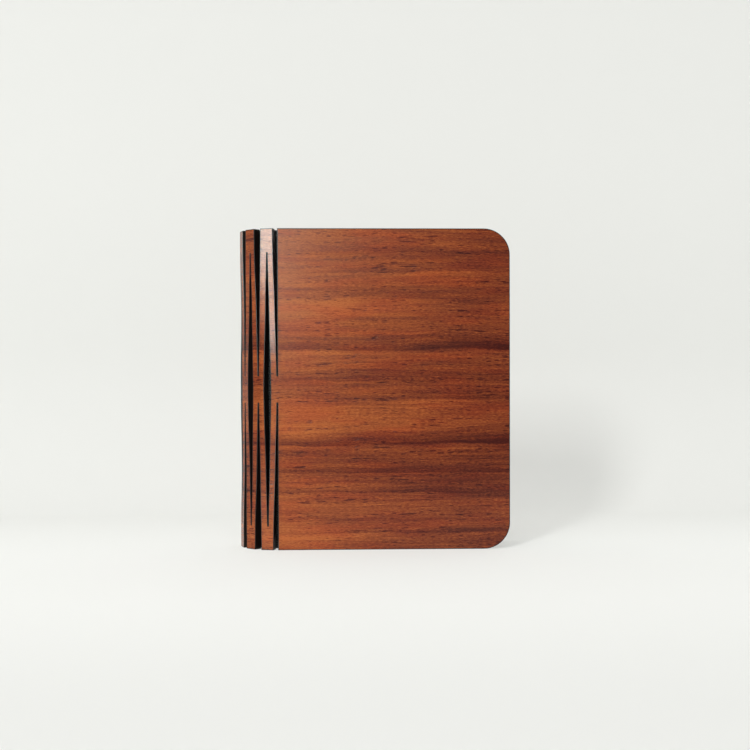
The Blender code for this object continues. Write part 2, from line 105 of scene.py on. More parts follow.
class Finish(Enum):
    """Names of the lamp's materials."""

    VENEER = "veneer"
    LINING = "lining"
    PAPER = "page_paper"
    HOUSING = "core_housing"
    DIFFUSER = "core_diffuser"
    BOARD = "circuit_board"
    GLASS = "switch_glass"
    WRAP = "cell_wrap"
    STEEL = "plated_steel"


def smoothstep(value: Array | float) -> Array:
    """Ease from 0 to 1: 3t^2 - 2t^3 of the value clipped to 0..1."""
    t = np.clip(value, 0.0, 1.0)
    return t * t * (3 - 2 * t)


def on_circle(turn: Array) -> Array:
    """Points of the unit circle at some angles, as (points, 2)."""
    return np.stack([np.cos(turn), np.sin(turn)], axis=1)


def left_of(ways: Array) -> Array:
    """Directions in the plane, as (points, 2), turned a quarter to the left."""
    return np.stack([-ways[:, 1], ways[:, 0]], axis=1)


class Graph:
    """A node tree with a short way to add and link nodes."""

    # Places of a Mix node's sockets, which have the same names for numbers and for colours
    MIX_NUMBERS = (2, 3)
    MIX_COLOURS = (6, 7)
    MIXED_COLOUR = 2

    def __init__(self, tree: NodeTree) -> None:
        """Keep the tree."""
        self.tree = tree

    def feed(self, node: Node, inputs: dict[str | int, Any]) -> Node:
        """Set or link inputs of a node.

        Args:
            node: The node.
            inputs: Socket name or index to a value, or to the output socket that feeds it.

        Returns:
            The node.
        """
        for key, value in inputs.items():
            if isinstance(value, Socket):
                self.tree.links.new(value, node.inputs[key])
            else:
                node.inputs[key].default_value = value
        return node

    def add(self, kind: str, inputs: dict[str | int, Any] | None = None, **settings: Any) -> Node:
        """Add a node.

        Args:
            kind: The node's type name without the leading "ShaderNode".
            inputs: What its inputs get, as for feed.
            settings: Properties set on the node first.

        Returns:
            The new node.
        """
        node = self.tree.nodes.new("ShaderNode" + kind)
        for name, value in settings.items():
            setattr(node, name, value)
        return self.feed(node, inputs or {})

    def group(self, tree: NodeTree, inputs: dict[str, Any]) -> Node:
        """Add a node group."""
        return self.add("Group", inputs, node_tree=tree)

    def math(self, operation: str, first: Any, second: Any = 0.0, clamp: bool = False) -> Socket:
        """Do one operation on numbers or sockets, and hold the result to 0..1 if clamp is set."""
        return self.add("Math", {0: first, 1: second}, operation=operation, use_clamp=clamp).outputs[0]

    def swing(self, value: Socket, strength: Any) -> Socket:
        """Centre a value that lies around 0.5, and multiply it by a strength."""
        return self.math("MULTIPLY", self.math("SUBTRACT", value, 0.5), strength)

    def remap(self, value: Socket, low: float, high: float, out_low: float, out_high: float) -> Socket:
        """Map low..high smoothly to out_low..out_high, and keep the ends beyond them."""
        inputs = {"Value": value, "From Min": low, "From Max": high, "To Min": out_low, "To Max": out_high}
        return self.add("MapRange", inputs, interpolation_type="SMOOTHSTEP").outputs["Result"]

    def mix(self, share: Any, first: Any, second: Any, mode: str = "MIX") -> Socket:
        """Mix two colours.

        Args:
            share: Share of the second colour.
            first: Colour or socket.
            second: Colour or socket.
            mode: Blender's name of the blend mode.

        Returns:
            The mixed colour's socket.
        """
        colours = [colour if isinstance(colour, Socket) else (*colour, 1.0) for colour in (first, second)]
        inputs = {0: share, **dict(zip(self.MIX_COLOURS, colours))}
        return self.add("Mix", inputs, data_type="RGBA", blend_type=mode).outputs[self.MIXED_COLOUR]

    def mix_numbers(self, share: Any, first: Any, second: Any) -> Socket:
        """Mix two numbers by the share of the second."""
        return self.add("Mix", {0: share, **dict(zip(self.MIX_NUMBERS, (first, second)))}).outputs[0]

    def ramp(self, share: Socket, stops: list[tuple[float, Colour]]) -> Socket:
        """Read a colour off a list of stops.

        Args:
            share: Where to read, from 0 to 1.
            stops: Position and colour of each stop, in rising order.

        Returns:
            The colour's socket.
        """
        node = self.add("ValToRGB", {0: share})
        elements = node.color_ramp.elements
        node.color_ramp.interpolation = "LINEAR"
        for position, value in stops[1:-1]:
            elements.new(position).color = (*value, 1.0)
        ends = sorted(elements, key=lambda stop: stop.position)
        for stop, (position, value) in ((ends[0], stops[0]), (ends[-1], stops[-1])):
            stop.position = position
            stop.color = (*value, 1.0)
        return node.outputs[0]

    def stretch(self, vector: Socket, scale: Pair, shift: Pair = (0.0, 0.0)) -> Socket:
        """Scale the first two coordinates, and shift them after that."""
        inputs = {"Vector": vector, "Location": (*shift, 0.0), "Scale": (*scale, 1.0)}
        return self.add("Mapping", inputs).outputs[0]

    def flat_mm(self) -> Socket:
        """Place on the unrolled board or sheet in millimetres, from the piece's own UV map."""
        return self.stretch(self.add("UVMap", uv_map="flat").outputs[0], (MM, MM))

    def noise(self, vector: Socket, scale: Pair, shift: Pair, detail: float,
              roughness: float = 0.55) -> Socket:
        """Add fractal noise, around 0.5, in stretched cells.

        Args:
            vector: The coordinates' socket.
            scale: Cells for each unit of the first and of the second coordinate.
            shift: Offset of each, in cells.
            detail: Octaves.
            roughness: Strength of each octave against the one before.

        Returns:
            The value's socket.
        """
        inputs = {"Vector": self.stretch(vector, scale, shift), "Scale": 1.0, "Detail": detail,
                  "Roughness": roughness}
        return self.add("TexNoise", inputs, noise_dimensions="3D").outputs[0]

    def bump(self, height: Socket, strength: float, distance: float) -> Socket:
        """Turn a height into a normal, with the distance in metres for a height of 1."""
        return self.add("Bump", {"Strength": strength, "Distance": distance, "Height": height}).outputs[0]


def new_group(name: str, numbers: dict[str, float], outputs: tuple[str, ...]) -> tuple[Graph, Node, Node]:
    """Start a shader node group that takes coordinates and numbers, and gives numbers.

    Args:
        name: The group's name.
        numbers: Name and default of each number that it takes, after the coordinates in "Vector".
        outputs: Name of each number that it gives.

    Returns:
        The group's graph, and its input and output nodes.
    """
    tree = bpy.data.node_groups.new(name, "ShaderNodeTree")
    tree.interface.new_socket("Vector", in_out="INPUT", socket_type="NodeSocketVector")
    for title, default in numbers.items():
        socket = tree.interface.new_socket(title, in_out="INPUT", socket_type="NodeSocketFloat")
        socket.default_value = default
    for title in outputs:
        tree.interface.new_socket(title, in_out="OUTPUT", socket_type="NodeSocketFloat")
    return Graph(tree), tree.nodes.new("NodeGroupInput"), tree.nodes.new("NodeGroupOutput")


class Effects:
    """Shader node groups that several finishes share, each built once."""

    # Cells for each millimetre along and across the grain, shift, octaves and roughness of each noise
    GRAIN = {
        "Figure": ((0.012, 0.10), (7.0, 2.0), 2.0, 0.5), "Streak": ((0.022, 0.60), (1.0, 9.0), 3.0, 0.6),
        "Fibre": ((0.05, 2.8), (4.0, 5.0), 2.0, 0.7), "Hair": ((0.68, 3.6), (2.0, 8.0), 2.0, 0.7),
    }
    SLOW_BEND = ((0.012, 0.035), (0.0, 0.0), 2.0)
    RIPPLE = ((0.055, 0.22), (3.1, 1.7), 4.0, 0.6)
    RIPPLE_MM = 2.4
    CROWD = ((0.03, 0.50), (6.0, 3.0), 3.0, 0.6)

    # Length and height of a dash's cell in millimetres, and the share of the cells that hold a dash
    LONG_PORES = ((10.0, 0.80), 0.28)
    SHORT_PORES = ((3.6, 0.56), 0.46)
    SHORT_PORE_DEPTH = 0.8
    CROWDING = 2.4
    DASH_GROWTH = 1.6
    DASH_REACH = 0.46
    DASH_EDGE = 7.0

    def __init__(self) -> None:
        """Build every group."""
        self.grain = self._grain()
        self.mottle = self._mottle()
        self.weave = self._weave()

    def _dashes(self, g: Graph, bent: Socket, crowd: Socket, cell_mm: Pair, share: float) -> Socket:
        """Scatter short dashes along the grain.

        The plane is split into long flat Voronoi cells. Round the point of each cell lies an ellipse,
        and its size follows the cell's random number and the crowding at its place, down to nothing.

        Args:
            g: The group's graph.
            bent: The bent coordinates.
            crowd: How crowded the dashes are, around 0.5.
            cell_mm: Length and height of a cell.
            share: Share of the cells that hold a dash, before the crowding.

        Returns:
            The dashes, 1 inside and 0 outside.
        """
        cells = g.stretch(bent, (1 / cell_mm[0], 1 / cell_mm[1]), cell_mm)
        voronoi = g.add("TexVoronoi", {"Vector": cells, "Scale": 1.0}, voronoi_dimensions="2D").outputs
        chance = g.add("SeparateColor", {0: voronoi["Color"]}).outputs[0]
        level = g.math("ADD", chance, g.swing(crowd, self.CROWDING))
        radius = g.math("MULTIPLY", g.math("SUBTRACT", level, 1.0 - share), self.DASH_GROWTH, clamp=True)
        inside = g.math("SUBTRACT", g.math("MULTIPLY", radius, self.DASH_REACH), voronoi["Distance"])
        return g.math("MULTIPLY", inside, self.DASH_EDGE, clamp=True)

    def _grain(self) -> NodeTree:
        """Wood grain that runs along the first coordinate.

        The second coordinate is bent by slow noises. Figure, streaks, fibres and hairs are noises
        stretched along the grain by different factors. Pores are dashes of two sizes in crowded rows.

        Returns:
            The group, with outputs Figure, Streak, Fibre, Hair and Pore around 0..1, and the bent height.
        """
        g, start, end = new_group("wood_grain", {"Warp": 3.0}, (*self.GRAIN, "Pore", "Height"))
        flat = start.outputs["Vector"]
        along, across, _ = g.add("SeparateXYZ", {0: flat}).outputs
        lift = g.swing(g.noise(flat, *self.SLOW_BEND), start.outputs["Warp"])
        ripple = g.swing(g.noise(flat, *self.RIPPLE), self.RIPPLE_MM)
        height = g.math("ADD", g.math("ADD", across, lift), ripple)
        bent = g.add("CombineXYZ", {0: along, 1: height}).outputs[0]
        crowd = g.noise(bent, *self.CROWD)
        long_pore = self._dashes(g, bent, crowd, *self.LONG_PORES)
        short_pore = self._dashes(g, bent, crowd, *self.SHORT_PORES)
        pore = g.math("MAXIMUM", long_pore, g.math("MULTIPLY", short_pore, self.SHORT_PORE_DEPTH))
        found = {name: g.noise(bent, *noise) for name, noise in self.GRAIN.items()}
        g.feed(end, {**found, "Pore": pore, "Height": height})
        return g.tree

    def _mottle(self) -> NodeTree:
        """Fine unevenness of a moulded, papery or worn surface.

        Returns:
            The group, with a slow Cloud and a fine Speck output, both around 0.5.
        """
        sizes = {"Cloud Scale": 40.0, "Speck Scale": 2500.0}
        g, start, end = new_group("surface_mottle", sizes, ("Cloud", "Speck"))
        given = start.outputs
        for name, detail in (("Cloud", 4.0), ("Speck", 2.0)):
            inputs = {"Vector": given["Vector"], "Scale": given[name + " Scale"], "Detail": detail}
            g.feed(end, {name: g.add("TexNoise", inputs).outputs[0]})
        return g.tree

    def _weave(self) -> NodeTree:
        """Plain weave: two sets of threads that go over and under each other.

        Each thread is a sine ridge across its run, and the two sets take turns at the top, in squares
        in which the product of the two sines has one sign.

        Returns:
            The group, with a Height output around 0..1.
        """
        g, start, end = new_group("plain_weave", {"Threads": 3.0}, ("Height",))
        parts = g.add("SeparateXYZ", {0: start.outputs["Vector"]}).outputs
        count = g.math("MULTIPLY", start.outputs["Threads"], pi)
        across, along = [g.math("SINE", g.math("MULTIPLY", parts[axis], count)) for axis in (0, 1)]
        over = g.math("MULTIPLY", g.math("SIGN", across), g.math("SIGN", along))
        share = g.math("MULTIPLY", g.math("ADD", over, 1.0), 0.5)
        warp = g.math("MULTIPLY", g.math("ABSOLUTE", across), share)
        weft = g.math("MULTIPLY", g.math("ABSOLUTE", along), g.math("SUBTRACT", 1.0, share))
        g.feed(end, {"Height": g.math("ADD", warp, weft)})
        return g.tree


@dataclass(frozen=True)
class Coat:
    """Values that a material's shader keeps the same all over."""

    roughness: float
    metallic: float = 0.0
    transmission: float = 0.0
    ior: float = 1.5
    specular: float = 0.5

    def shader(self, name: Finish) -> tuple[Material, Graph, Node]:
        """Start a material.

        Args:
            name: The material's name.

        Returns:
            The material, its graph and its Principled node.
        """
        material = bpy.data.materials.new(name.value)
        material.use_nodes = True
        graph = Graph(material.node_tree)
        values = {"Roughness": self.roughness, "Metallic": self.metallic, "IOR": self.ior,
                  "Transmission Weight": self.transmission, "Specular IOR Level": self.specular}
        return material, graph, graph.feed(material.node_tree.nodes["Principled BSDF"], values)


@dataclass(frozen=True)
class GrowthLine:
    """A dark line of the figure that fades in from above and ends sharply at its lower edge."""

    edge_mm: float
    fade_mm: float
    depth: float


@dataclass(frozen=True)
class VeneerFinish:
    """Reddish-brown veneer with dark, laser-burnt cut edges."""

    # Lightness from 0 to 1 and colour, from the darkest lines to the brightest bands
    tones: tuple[tuple[float, Colour], ...] = (
        (0.0, (0.046, 0.0065, 0.0036)), (0.30, (0.112, 0.0197, 0.0074)), (0.60, (0.225, 0.0480, 0.0132)),
        (0.80, (0.312, 0.0770, 0.0185)), (1.0, (0.420, 0.1160, 0.0265)),
    )
    rosy: Colour = (1.0, 0.82, 0.86)
    burnt: Colour = (0.0090, 0.0055, 0.0045)
    warp_mm: float = 3.6
    base: float = 0.62
    coat: Coat = Coat(roughness=0.20, specular=0.22)
    # Height in millimetres and change of lightness of the figure's broad bands
    broad: tuple[tuple[float, float], ...] = (
        (0.0, 0.00), (2.5, -0.02), (5.0, 0.08), (9.0, 0.03), (14.0, 0.09), (18.0, -0.01), (26.0, -0.08),
        (36.0, -0.09), (44.0, -0.01), (47.5, 0.08), (53.5, 0.14), (58.5, 0.00), (62.0, -0.03), (71.0, 0.03),
        (80.0, -0.02), (85.0, 0.07), (90.5, 0.14), (97.0, 0.06), (101.0, 0.07), (107.0, 0.01), (114.0, 0.02),
        (122.0, 0.04),
    )
    lines: tuple[GrowthLine, ...] = (
        GrowthLine(6.2, 1.4, 0.16), GrowthLine(11.0, 1.8, 0.13), GrowthLine(21.8, 3.2, 0.22),
        GrowthLine(29.6, 2.6, 0.23), GrowthLine(40.1, 5.0, 0.40), GrowthLine(57.2, 3.0, 0.16),
        GrowthLine(64.0, 3.2, 0.15), GrowthLine(76.0, 6.0, 0.40), GrowthLine(105.4, 3.2, 0.12),
        GrowthLine(112.4, 1.6, 0.08),
    )

    # Width of a growth line's sharp edge, and where in its fade and at what share of its depth it bends
    line_edge_mm: float = 0.35
    line_bend: Pair = (0.35, 0.55)

    # What each part of the grain adds to the lightness from trough to crest
    strengths: tuple[tuple[str, float], ...] = (
        ("Figure", 0.60), ("Streak", 0.82), ("Fibre", 0.7), ("Hair", 1.25),
    )
    pore_depth: float = 0.50

    # Distances from the middle of the spine, and the lightness added at each: painted light, lighter near
    # the spine and darker towards the fore-edges
    fall_mm: Pair = (10.0, 110.0)
    fall: Pair = (0.15, -0.20)
    # Distances from the middle of the spine, and the lightness added at each: painted shade, darker over the
    # bent spine
    bend_mm: Pair = (13.0, 17.5)
    bend_shade: Pair = (-0.16, 0.0)

    # Noise at which the rosy patches start and are full, and the same for the burn times its raggedness
    patch_range: Pair = (0.42, 0.66)
    scorch_range: Pair = (0.20, 0.95)
    least_ragged: float = 0.62
    scorch_roughness: float = 0.10
    streak_roughness: float = -0.10
    fibre_height: float = 0.35
    pore_hollow: float = 0.25

    def _level(self, g: Graph, share: Socket, stops: list[Pair]) -> Socket:
        """Read a number off a list of stops, which may be negative down to -0.5.

        Args:
            g: The material's graph.
            share: Where to read, from 0 to 1.
            stops: Position and number of each stop, in rising order.

        Returns:
            The number's socket.
        """
        greys = [(position, (value + 0.5,) * 3) for position, value in stops]
        grey = g.add("SeparateColor", {0: g.ramp(share, greys)}).outputs[0]
        return g.math("SUBTRACT", grey, 0.5)

    def _figure(self, g: Graph, height: Socket, height_mm: float) -> Socket:
        """Change of lightness by the broad bands, less the depth of the growth lines, at a height.

        A colour ramp holds 32 stops, so the lines are shared out between two.

        Args:
            g: The material's graph.
            height: The bent height in millimetres.
            height_mm: The board's height.

        Returns:
            The change of lightness.
        """
        share = g.math("DIVIDE", height, height_mm, clamp=True)
        broad = [(place / height_mm, light) for place, light in self.broad]
        bend, bend_depth = self.line_bend
        halves = []
        for half in (self.lines[:len(self.lines) // 2], self.lines[len(self.lines) // 2:]):
            stops = []
            for line in half:
                places = (line.edge_mm - self.line_edge_mm, line.edge_mm, line.edge_mm + line.fade_mm * bend,
                          line.edge_mm + line.fade_mm)
                depths = (0.0, line.depth, line.depth * bend_depth, 0.0)
                stops += [(place / height_mm, depth) for place, depth in zip(places, depths)]
            halves.append(self._level(g, share, stops))
        return g.math("SUBTRACT", self._level(g, share, broad), g.math("ADD", *halves))

    def build(self, effects: Effects, height_mm: float, spine_mm: float) -> Material:
        """Make the veneer.

        The lightness is the figure's, with the grain's swings, the pores' depth, painted light that falls
        slowly away from the spine and painted shade over the bent spine. The tones turn it into a colour,
        rosy in patches and burnt at the cuts.

        Args:
            effects: The shared node groups.
            height_mm: The board's height.
            spine_mm: Place of the spine's middle on the unrolled board.

        Returns:
            The material.
        """
        material, g, shader = self.coat.shader(Finish.VENEER)
        in_mm = g.flat_mm()
        grain = g.group(effects.grain, {"Vector": in_mm, "Warp": self.warp_mm}).outputs
        tone = g.math("ADD", self._figure(g, grain["Height"], height_mm), self.base)
        for name, strength in self.strengths:
            tone = g.math("ADD", tone, g.swing(grain[name], strength))
        along = g.add("SeparateXYZ", {0: in_mm}).outputs[0]
        from_spine = g.math("ABSOLUTE", g.math("SUBTRACT", along, spine_mm))
        # Painted light: the board lighter near the spine, darker towards the fore-edges
        tone = g.math("ADD", tone, g.remap(from_spine, *self.fall_mm, *self.fall))
        # Painted shade: the bent spine darker than the covers
        tone = g.math("ADD", tone, g.remap(from_spine, *self.bend_mm, *self.bend_shade))
        tone = g.math("SUBTRACT", tone, g.math("MULTIPLY", grain["Pore"], self.pore_depth), clamp=True)
        colour = g.ramp(tone, list(self.tones))
        patches = g.remap(g.noise(in_mm, (0.035, 0.16), (2.0, 6.0), 2.0), *self.patch_range, 0.0, 1.0)
        colour = g.mix(patches, colour, g.mix(1.0, colour, self.rosy, "MULTIPLY"))
        burn = g.add("Attribute", attribute_name="burn", attribute_type="GEOMETRY").outputs["Fac"]
        ragged = g.math("ADD", self.least_ragged, g.noise(in_mm, (1.3, 1.3), (0.0, 0.0), 3.0))
        scorch = g.remap(g.math("MULTIPLY", burn, ragged), *self.scorch_range, 0.0, 1.0)
        uneven = g.math("ADD", self.coat.roughness, g.swing(grain["Streak"], self.streak_roughness))
        rough = g.math("ADD", uneven, g.math("MULTIPLY", scorch, self.scorch_roughness), clamp=True)
        hollow = g.math("MULTIPLY", grain["Pore"], self.pore_hollow)
        relief = g.math("SUBTRACT", g.math("MULTIPLY", grain["Fibre"], self.fibre_height), hollow)
        g.feed(shader, {"Base Color": g.mix(scorch, colour, self.burnt), "Roughness": rough,
                        "Normal": g.bump(relief, strength=0.2, distance=0.00012)})
        return material


@dataclass(frozen=True)
class LiningFinish:
    """Black woven lining with a light fleck on its high threads."""

    thread: Colour = (0.0045, 0.0045, 0.0050)
    fleck: Colour = (0.15, 0.145, 0.135)
    fleck_range: Pair = (0.38, 0.60)
    fleck_share: float = 0.85
    threads_per_mm: float = 2.6
    coat: Coat = Coat(roughness=0.9, specular=0.1)

    def build(self, effects: Effects) -> Material:
        """Make the lining.

        Args:
            effects: The shared node groups.

        Returns:
            The material.
        """
        material, g, shader = self.coat.shader(Finish.LINING)
        in_mm = g.flat_mm()
        weave = g.group(effects.weave, {"Vector": in_mm, "Threads": self.threads_per_mm}).outputs[0]
        mottle = g.group(effects.mottle, {"Vector": in_mm, "Cloud Scale": 0.5, "Speck Scale": 2.2}).outputs
        high = g.math("MULTIPLY", weave, mottle["Speck"])
        high = g.remap(high, *self.fleck_range, 0.0, self.fleck_share)
        g.feed(shader, {"Base Color": g.mix(high, self.thread, self.fleck),
                        "Normal": g.bump(weave, strength=0.7, distance=0.0001)})
        return material


@dataclass(frozen=True)
class PaperFinish:
    """White fibrous page film, a little uneven in tone."""

    light: Colour = (0.86, 0.855, 0.83)
    shade: Colour = (0.76, 0.755, 0.73)
    shade_range: Pair = (0.36, 0.64)
    speck_height: float = 0.6
    coat: Coat = Coat(roughness=0.6)

    def build(self, effects: Effects) -> Material:
        """Make the page film.

        Args:
            effects: The shared node groups.

        Returns:
            The material.
        """
        material, g, shader = self.coat.shader(Finish.PAPER)
        in_mm = g.flat_mm()
        mottle = g.group(effects.mottle, {"Vector": in_mm, "Cloud Scale": 0.22, "Speck Scale": 1.8}).outputs
        fibres = g.noise(in_mm, (0.5, 2.4), (0.0, 0.0), 4.0, 0.7)
        wide = g.math("ADD", g.math("MULTIPLY", mottle["Cloud"], 0.5), g.math("MULTIPLY", fibres, 0.5))
        height = g.math("ADD", fibres, g.math("MULTIPLY", mottle["Speck"], self.speck_height))
        shade = g.remap(wide, *self.shade_range, 0.0, 1.0)
        g.feed(shader, {"Base Color": g.mix(shade, self.light, self.shade),
                        "Normal": g.bump(height, strength=0.25, distance=0.0001)})
        return material


@dataclass(frozen=True)
class MottledFinish:
    """A plain finish of the core's parts: one colour with fine mottle, texture and uneven gloss."""

    name: Finish
    colour: Colour
    coat: Coat
    tint: Colour = (0.0, 0.0, 0.0)
    tint_share: float = 0.12
    cloud: float = 60.0
    speck: float = 3500.0
    relief: float = 0.00003
    gloss_swing: float = 0.18

    def build(self, effects: Effects) -> Material:
        """Make the finish on Object coordinates.

        Args:
            effects: The shared node groups.

        Returns:
            The material.
        """
        material, g, shader = self.coat.shader(self.name)
        inputs = {"Vector": g.add("TexCoord").outputs["Object"], "Cloud Scale": self.cloud,
                  "Speck Scale": self.speck}
        mottle = g.group(effects.mottle, inputs).outputs
        share = g.math("MULTIPLY", mottle["Cloud"], self.tint_share)
        uneven = g.swing(mottle["Cloud"], self.gloss_swing)
        g.feed(shader, {"Base Color": g.mix(share, self.colour, self.tint),
                        "Roughness": g.math("ADD", self.coat.roughness, uneven, clamp=True),
                        "Normal": g.bump(mottle["Speck"], strength=0.3, distance=self.relief)})
        return material


class Wardrobe:
    """Every finish of the lamp, built once."""

    PLAIN = (
        MottledFinish(Finish.HOUSING, (0.70, 0.70, 0.68), Coat(0.45)),
        MottledFinish(Finish.DIFFUSER, (0.84, 0.84, 0.81), Coat(0.38, transmission=0.25), (0.6, 0.6, 0.55)),
        MottledFinish(Finish.BOARD, (0.72, 0.74, 0.70), Coat(0.32), (0.2, 0.3, 0.2)),
        MottledFinish(Finish.GLASS, (0.35, 0.5, 0.42), Coat(0.08, transmission=0.8)),
        MottledFinish(Finish.WRAP, (0.03, 0.10, 0.22), Coat(0.3)),
        MottledFinish(Finish.STEEL, (0.62, 0.62, 0.63), Coat(0.26, metallic=1.0), cloud=400.0),
    )

    def __init__(self, height: float, spine: float) -> None:
        """Build the finishes.

        Args:
            height: The board's height in metres.
            spine: Place of the spine's middle on the unrolled board, in metres.
        """
        effects = Effects()
        self.materials = {
            Finish.VENEER: VeneerFinish().build(effects, height * MM, spine * MM),
            Finish.LINING: LiningFinish().build(effects),
            Finish.PAPER: PaperFinish().build(effects),
        }
        for finish in self.PLAIN:
            self.materials[finish.name] = finish.build(effects)

    def dress(self, item: Item, finish: Finish) -> None:
        """Give an object one finish on all its faces."""
        item.data.materials.clear()
        item.data.materials.append(self.materials[finish])


def link_item(name: str, data: bpy.types.ID) -> Item:
    """Make an object and link it to the scene.

    Args:
        name: The object's name.
        data: Its mesh, lamp or camera.

    Returns:
        The new object.
    """
    item = bpy.data.objects.new(name, data)
    bpy.context.scene.collection.objects.link(item)
    return item


def lift(outline: Array, heights: Array) -> Array:
    """Carry an outline from above up to some heights.

    Args:
        outline: Points as (points, 2), or as (heights, points, 2) where it changes on the way up.
        heights: The heights.

    Returns:
        The rings of points, as (heights, points, 3).
    """
    rings = np.empty((len(heights), outline.shape[-2], 3))
    rings[..., :2] = outline
    rings[..., 2] = heights[:, None]
    return rings


def swept_solid(name: str, rings: Array, along: Array, burn: Array | None = None, crease: float = 50.0,
                thin: bool = False) -> Item:
    """Close a solid round a stack of equal rings of points.

    Neighbouring rings are joined by quads, the first and last rings are filled by one face each, or
    by quads from one half of the ring to the other, points that coincide are merged, and all faces
    are turned outwards.

    Args:
        name: The object's name.
        rings: Points, as (rings, points in a ring, 3).
        along: Each point's place along the unrolled board or sheet in metres, as (rings, points) or
            (points,). With its height it makes the piece's UV map.
        burn: How burnt each point is from 0 to 1, as (rings, points).
        crease: Angle in degrees from which an edge between faces stays sharp.
        thin: Whether a ring's second half runs back along its first, as round a thin sheet that bends.

    Returns:
        The new object, linked to the scene.
    """
    count, around = rings.shape[:2]
    index = np.arange(count * around).reshape(count, around)
    after = np.roll(index, -1, axis=1)
    quads = np.stack([index[:-1], after[:-1], after[1:], index[1:]], axis=-1).reshape(-1, 4)
    caps = index[[0, -1]]
    if thin:
        out, back = np.split(caps, 2, axis=1)
        back = back[:, ::-1]
        caps = np.stack([out[:, :-1], out[:, 1:], back[:, 1:], back[:, :-1]], axis=-1).reshape(-1, 4)
    mesh = bpy.data.meshes.new(name)
    mesh.from_pydata(rings.reshape(-1, 3), [], quads.tolist() + caps.tolist())
    corners = np.empty(len(mesh.loops), dtype=np.int32)
    mesh.loops.foreach_get("vertex_index", corners)
    flat = np.stack([np.broadcast_to(along, rings.shape[:2]), rings[..., 2]], axis=-1)
    layer = mesh.uv_layers.new(name="flat")
    layer.data.foreach_set("uv", flat.reshape(-1, 2)[corners].astype(np.float32).ravel())
    if burn is not None:
        attribute = mesh.attributes.new("burn", "FLOAT", "POINT")
        attribute.data.foreach_set("value", burn.astype(np.float32).ravel())
    shape = bmesh.new()
    shape.from_mesh(mesh)
    bmesh.ops.remove_doubles(shape, verts=shape.verts, dist=1e-7)
    bmesh.ops.recalc_face_normals(shape, faces=shape.faces)
    shape.to_mesh(mesh)
    shape.free()
    mesh.shade_smooth()
    mesh.set_sharp_from_angle(angle=radians(crease))
    return link_item(name, mesh)


@dataclass
class SpinePlan:
    """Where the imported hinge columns, slats and covers lie in the closed lamp."""

    pitch: float
    radius: float
    centre_x: float
    half_bend: float
    half_board: float
    height: float
    fore_edge: float
    slats: int = 6

    @classmethod
    def from_frame(cls) -> "SpinePlan":
        """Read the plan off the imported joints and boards.

        Returns:
            The plan.
        """
        joints = {joint["name"]: np.array(joint["pos_m"]) for joint in frame["joints"]}
        first, second = joints["front_hinge_1"], joints["front_hinge_2"]
        cover = joints["front_cover_hinge"]
        low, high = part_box("front_cover_board")
        pitch = float(np.hypot(*(second - first)[:2]))
        radius = float(-cover[1])
        return cls(pitch=pitch, radius=radius, centre_x=float(cover[0]), half_bend=asin(pitch / 2 / radius),
                   half_board=float(-low[1]) - radius, height=float(high[2]), fore_edge=float(high[0]))

    @property
    def middle(self) -> float:
        """Half the board's height."""
        return self.height / 2

    def column(self, side: Side, number: int) -> Array:
        """Hinge column from above as x and y: 1 at the middle of the spine, slats + 1 at the cover."""
        turn = 2 * self.half_bend * (number - 1)
        return np.array([self.centre_x - self.radius * cos(turn), side.value * self.radius * sin(turn)])

    def heading(self, side: Side, number: int) -> float:
        """Direction of a slat from above, from its near column to its far one, in radians."""
        return side.value * (pi / 2 - self.half_bend * (2 * number - 1))

    def flat_start(self, side: Side, number: int) -> float:
        """Place of a slat's near column on the unrolled board, from the front cover's column."""
        steps = self.slats + side.value * (number - 1)
        return -steps * self.pitch


@dataclass
class SlitPattern:
    """The slits of the living hinge, their taper, and the burnt edge of every cut."""

    plan: SpinePlan
    inner_length: float = 0.104
    inner_width: float = 0.0018
    spine_cut: float = 0.0012
    cover_cut: float = 0.0007
    edge_bridge: float = 0.010
    kerf: float = 0.0002
    arris: float = 0.00012
    scorch: float = 0.00034

    def inner_half(self, height: Array) -> Array:
        """Half width of a slit that lies inside the board.

        It falls in a straight line from the middle of the height to the kerf at the slit's tips.

        Args:
            height: Heights on the board.

        Returns:
            Half widths, zero past the tips.
        """
        away = np.abs(height - self.plan.middle)
        share = 1 - away / (self.inner_length / 2)
        half = self.kerf / 2 + (self.inner_width - self.kerf) / 2 * share
        return np.where(share > 0, half, 0.0)

    def edge_cut(self, height: Array, cut: float) -> Array:
        """How far a slit that opens at the board's edge goes into one of its two slats.

        It grows in a straight line from half the kerf at the bridge to its full cut at the edge.

        Args:
            height: Heights on the board.
            cut: The full cut.

        Returns:
            Depths of cut, zero in the bridge.
        """
        away = np.abs(height - self.plan.middle) - self.edge_bridge / 2
        share = away / (self.plan.middle - self.edge_bridge / 2)
        return np.where(share > 0, self.kerf / 2 + (cut - self.kerf / 2) * share, 0.0)


